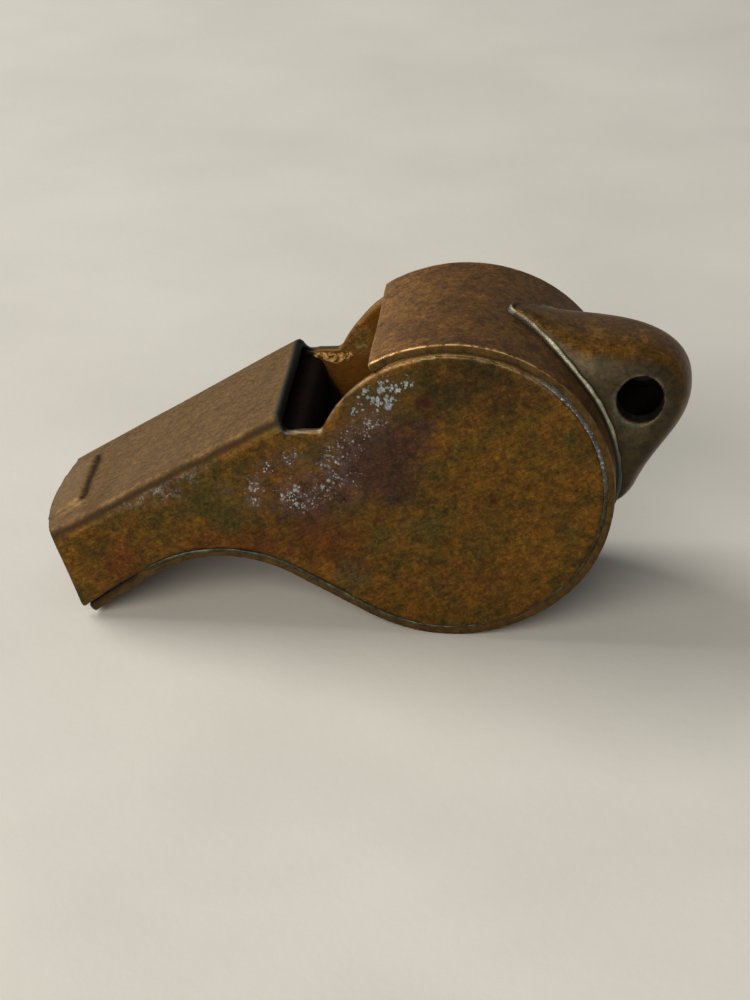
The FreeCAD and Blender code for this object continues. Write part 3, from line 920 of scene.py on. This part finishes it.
def softened_grip(mesh):
    """Rolls the raised tooth grip's edges over, as pressed sheet does."""
    co, pairs = coordinates(mesh), edge_pairs(mesh)
    back = top_back(co)
    near = smoothstep(back, 14.2, 15.0) * smoothstep(MOUTH_REACH - back, 0.8, 1.5)
    near *= (top_depth(co) < 0.3) * smoothstep(plate_depth(co), 0.9, 1.5)
    weight = 0.5 * near[:, None]
    for _ in range(24):
        co = co + weight * (neighbour_mean(co, pairs) - co)
    set_coordinates(mesh, co)


def make_saddle():
    mesh = fine_mesh("side_plate_saddle", voxel=0.167, rounds=3)
    softened_grip(mesh)
    paint_saddle(mesh)
    dented(mesh)
    dress("saddle", mesh, saddle_finish(), "side_plate_saddle")


def open_slit(co):
    """The strap's inner edge along the unsoldered last stretch before the mouth, in shade."""
    points, normals, length = under_path(LIP_DEG)
    last = length > length[-1] - OPEN_SEAM + 0.3
    points, normals = points[last], normals[last]
    gap = co[:, None, [0, 2]] - points[None]
    nearest = np.argmin(np.linalg.norm(gap, axis=2), axis=1)
    height = np.einsum("ij,ij->i", gap[np.arange(len(co)), nearest], normals[nearest])
    return (1 - smoothstep(height, 0.1, 0.24)) * (co[:, 0] < points[:, 0].max())


def make_strap():
    mesh = strap_mesh()
    co, normal = coordinates(mesh), normals_of(mesh)
    edge, angle = plate_depth(co) - STRAP_INSET, angle_of(co)
    sideways = np.abs(normal[:, 1])
    outer = np.hypot(co[:, 0], co[:, 2]) > DRUM_R - 0.3
    ragged = 0.06 * waves(co, 1.7, SEED + 21) + 0.03 * waves(co, 0.6, SEED + 22)
    corner = np.exp(-((edge - 0.05 + ragged) / 0.06) ** 2) * (sideways < 0.9) * outer
    store(mesh, "rub", corner * (0.25 + 0.75 * smoothstep(angle, 40, 70)))
    store(mesh, "edge_face", smoothstep(sideways, 0.6, 0.95))
    store(mesh, "lip_highlight", smoothstep(angle, LIP_DEG - 1.0, LIP_DEG - 0.3) * outer)
    store(mesh, "slit", open_slit(co) * (sideways > 0.3))
    dented(mesh)
    f = Patina("strap_brass", ("8a6028", "a07030", "b4803a"), streak_deg=-24.0, shift=2.0)
    cut = f.ramp(f.mottle, ((0.36, "2c220c"), (0.62, "503a16")))
    f.paint(f.times(f.painted("edge_face"), 0.93), cut)
    worn = f.mask(f.noise(1.4, 6, 0.7, shift=13.0), 0.4, 0.55)
    f.paint(f.times(f.times(f.painted("rub"), worn), 0.95), "c8a070")
    # Painted highlight along the strap's end at the window
    f.paint(f.times(f.painted("lip_highlight"), 0.35), "a08058")
    f.paint(f.times(f.painted("slit"), 0.95), "0a0805")
    dress("strap", mesh, f.done(), "barrel_strap")


def make_windway():
    mesh = fine_mesh("windway_floor", voxel=0.14, rounds=3)
    co = coordinates(mesh)
    co[:, [0, 2]] -= touched(co, NOSE_SET_BACK)[:, None] * heading(NOSE_DEG)
    set_coordinates(mesh, co)
    dented(mesh)
    # Painted shade: the windway floor lies in shade inside the whistle, so its brass is coloured
    # nearly black, matt and barely reflective
    f = Patina("inner_brass", ("120704", "1c0a05", "280e06"), shift=5.0)
    amount = flakes(f, 0.35, 3.0, 0.5, shift=7.0)[0]
    f.crust(f.times(amount, 0.35), "3c3428", 0.05)
    f.metal = 0.0
    f.rough = 0.9
    f.shader.inputs["Specular IOR Level"].default_value = 0.12
    dress("windway_floor_sheet", mesh, f.done(), "windway_floor")


def make_lug():
    mesh = fine_mesh("lanyard_lug", voxel=0.1, rounds=9)
    co = coordinates(mesh)
    from_hole = np.hypot(co[:, 0] - LUG_HOLE[0], co[:, 2] - LUG_HOLE[1])
    wall = smoothstep(np.abs(co[:, 1]), 1.6, 3.4)
    pressed = DISH_DEPTH * np.exp(-(from_hole / DISH_R) ** 2) * wall
    co[:, 1] -= np.sign(co[:, 1]) * pressed
    set_coordinates(mesh, relaxed(co, edge_pairs(mesh), 2))
    paint_lug(mesh, from_hole)
    dented(mesh)
    f = Patina("lug_brass", ("926a2a", "a6762c", "bc8a3a"), streak_deg=10.0, shift=8.0)
    dull = f.ramp(f.mottle, ((0.36, "26241c"), (0.62, "443c2a")))
    f.paint(f.times(f.painted("side"), 0.92), dull)
    # Painted shade on the lug's far end, which faces away from the light
    f.paint(f.times(f.painted("tip_shade"), 0.6), "2a2214")
    f.paint(f.times(f.painted("foot"), 0.55), "3a3120")
    # Painted highlight round the hole's rim, broken up by noise
    rim_highlight_share = f.mask(f.noise(1.2, 4, 0.6, shift=72.0), 0.4, 0.6)
    f.paint(f.times(f.times(f.painted("rim"), rim_highlight_share), 0.5), "8c7c58")
    green = f.times(f.painted("green"), f.mask(f.noise(2.8, 5, 0.7, shift=73.0), 0.4, 0.6))
    f.crust(f.times(green, 0.7), "2e4a3e", 0.05)
    # Painted shade: the lug's inner faces and the bore of its hole, nearly black
    f.paint(f.times(f.painted("hollow_shade"), 0.9), "120c06")
    f.paint(f.times(f.painted("bore_shade"), 0.97), "060402")
    satin = f.blend(f.mottle, 0.3, 0.5)
    f.rough = f.blend(f.painted("bore_shade"), f.blend(f.painted("side"), satin, 0.55), 0.9)
    dress("lug", mesh, f.done(), "lanyard_lug")


def paint_lug(mesh, from_hole):
    """Masks for the lug's dull sides, painted shade in its hole and hollow, a painted highlight round
    the hole's rim, painted shade on its tip, and its foot.
    """
    co, normal = coordinates(mesh), normals_of(mesh)
    lean = np.abs(normal[:, 1]) + 0.1 * waves(co, 1.8, SEED + 61)
    store(mesh, "side", smoothstep(lean, 0.42, 0.8))
    deep = smoothstep(LUG_HALF - np.abs(co[:, 1]), 0.35, 0.75)
    store(mesh, "bore_shade", (from_hole < LUG_HOLE_R + 0.12) * deep)
    outward = normal[:, 0] * co[:, 0] + normal[:, 2] * co[:, 2]
    facing_in = smoothstep(-normal[:, 1] * np.sign(co[:, 1]), 0.0, 0.2) * (np.abs(co[:, 1]) > 0.5)
    store(mesh, "hollow_shade", np.maximum(facing_in, smoothstep(-outward, 0, 2) * 0.5))
    edge = np.exp(-((from_hole - LUG_HOLE_R - 0.1) / 0.12) ** 2)
    store(mesh, "rim", edge * (np.abs(normal[:, 1]) > 0.3) * (1 - facing_in))
    low_left = smoothstep(-(co[:, 0] - LUG_HOLE[0]) - (co[:, 2] - LUG_HOLE[1]), 0.6, 1.8)
    ring = np.exp(-((from_hole - LUG_HOLE_R - 0.12) / 0.2) ** 2)
    store(mesh, "green", ring * low_left * (1 - facing_in))
    store(mesh, "tip_shade", smoothstep(normal[:, 0] - 0.4 * normal[:, 2], 0.3, 0.9))
    height = np.hypot(co[:, 0], co[:, 2]) - DRUM_R
    store(mesh, "foot", 1 - smoothstep(height + 0.15 * waves(co, 1.5, SEED + 62), 0.2, 0.75))


def solder(name):
    f = Patina(name, ("4c4c44", "6e6e64", "8c8c80"), shift=14.0)
    f.metal = 0.7
    f.rough = f.blend(f.grain, 0.25, 0.55)
    return f


def make_flange():
    mesh = flange_mesh()
    co = coordinates(mesh)
    height, angle = np.hypot(co[:, 0], co[:, 2]) - DRUM_R, angle_of(co)
    store(mesh, "ridge", smoothstep(height, 0.14, 0.27))
    store(mesh, "bright", smoothstep(angle, 4, 22) * (1 - smoothstep(angle, 52, 70)))
    store(mesh, "green", 1 - smoothstep(angle, 2, 20))
    dented(mesh)
    f = solder("flange_solder")
    brown = f.ramp(f.mottle, ((0.3, "4c4028"), (0.7, "6c5a3c")))
    silver = f.ramp(f.mottle, ((0.34, "6c6852"), (0.5, "989478"), (0.64, "c4c0a4")))
    f.paint(1.0, f.mix(f.painted("bright"), brown, silver))
    f.paint(f.times(f.painted("green"), 0.7), "3c5250")
    f.paint(f.math("SUBTRACT", 1.0, f.painted("ridge")), "1e1a10")
    dress("lug_flange", mesh, f.done(), "lug_solder")


def seam_finish():
    """Brown film over the top, blue-grey with bright specks at the shoulder, dark underneath."""
    f = solder("seam_solder")
    f.paint(1.0, f.ramp(f.mottle, ((0.36, "3a2a10"), (0.62, "5c421a"))))
    glint = f.mask(f.noise(5.0, 4, 0.7, shift=81.0), 0.58, 0.64)
    grey = f.ramp(f.mottle, ((0.36, "3c3a34"), (0.62, "6e6c66")))
    f.paint(f.painted("shoulder"), f.mix(glint, grey, "b8bcb8"))
    dark = f.ramp(f.mottle, ((0.36, "1a1c16"), (0.5, "3a3c2e"), (0.62, "5a5c4a")))
    f.paint(f.painted("under"), dark)
    return f.done()


def make_seams():
    material = seam_finish()
    for side, node in ((-1, "seam_solder_front"), (1, "seam_solder_back")):
        mesh = seam_mesh(side)
        co = coordinates(mesh)
        angle = angle_of(co) + 6 * waves(co, 2.5, SEED + 82)
        store(mesh, "shoulder", smoothstep(angle, -14, 16) * (1 - smoothstep(angle, 46, 66)))
        store(mesh, "under", 1 - smoothstep(angle, -10, 14) + (angle > 170))
        dented(mesh)
        dress(node + "_bead", mesh, material, node)


def make_windway_solder():
    mesh = fine_mesh("windway_solder", voxel=0.08, rounds=5)
    dented(mesh)
    dress("windway_beads", mesh, solder("windway_solder").done(), "windway_solder")


def make_pea():
    """Cork ball: a lumpy sphere with open pores."""
    mesh = fine_mesh("cork_pea", voxel=0.12, rounds=2)
    co = coordinates(mesh)
    centre = (co.min(0) + co.max(0)) / 2
    out = co - centre
    radius = np.linalg.norm(out, axis=1)
    pores = smoothstep(waves(co, 1.1, SEED + 91) + 0.5 * waves(co, 0.5, SEED + 92), 0.7, 1.1)
    size = radius.mean() - 0.08 + 0.05 * waves(co, 1.8, SEED + 90) - 0.16 * pores
    set_coordinates(mesh, centre + out * (size / radius)[:, None])
    store(mesh, "pores", pores)
    f = Finish("cork")
    grain = f.noise(1.4, 8, 0.7, 0.5, shift=1.0)
    gap = f.cells(2.2, f.mm)[0]
    colour = f.ramp(grain, ((0.3, "5a3d22"), (0.5, "7d5a35"), (0.7, "9a7448")))
    colour = f.mix(f.times(f.mask(gap, 0.3, 0.12), 0.6), colour, "3a2412")
    colour = f.mix(f.times(f.painted("pores"), 0.8), colour, "24160a")
    normal = f.bump(f.math("SUBTRACT", grain, f.painted("pores")), 0.1)
    dress("pea", mesh, f.finish(colour, 0.85, 0.0, normal), "cork_pea", "pea")


make_camera()
make_studio()
make_saddle()
make_strap()
make_windway()
make_lug()
make_flange()
make_seams()
make_windway_solder()
make_pea()
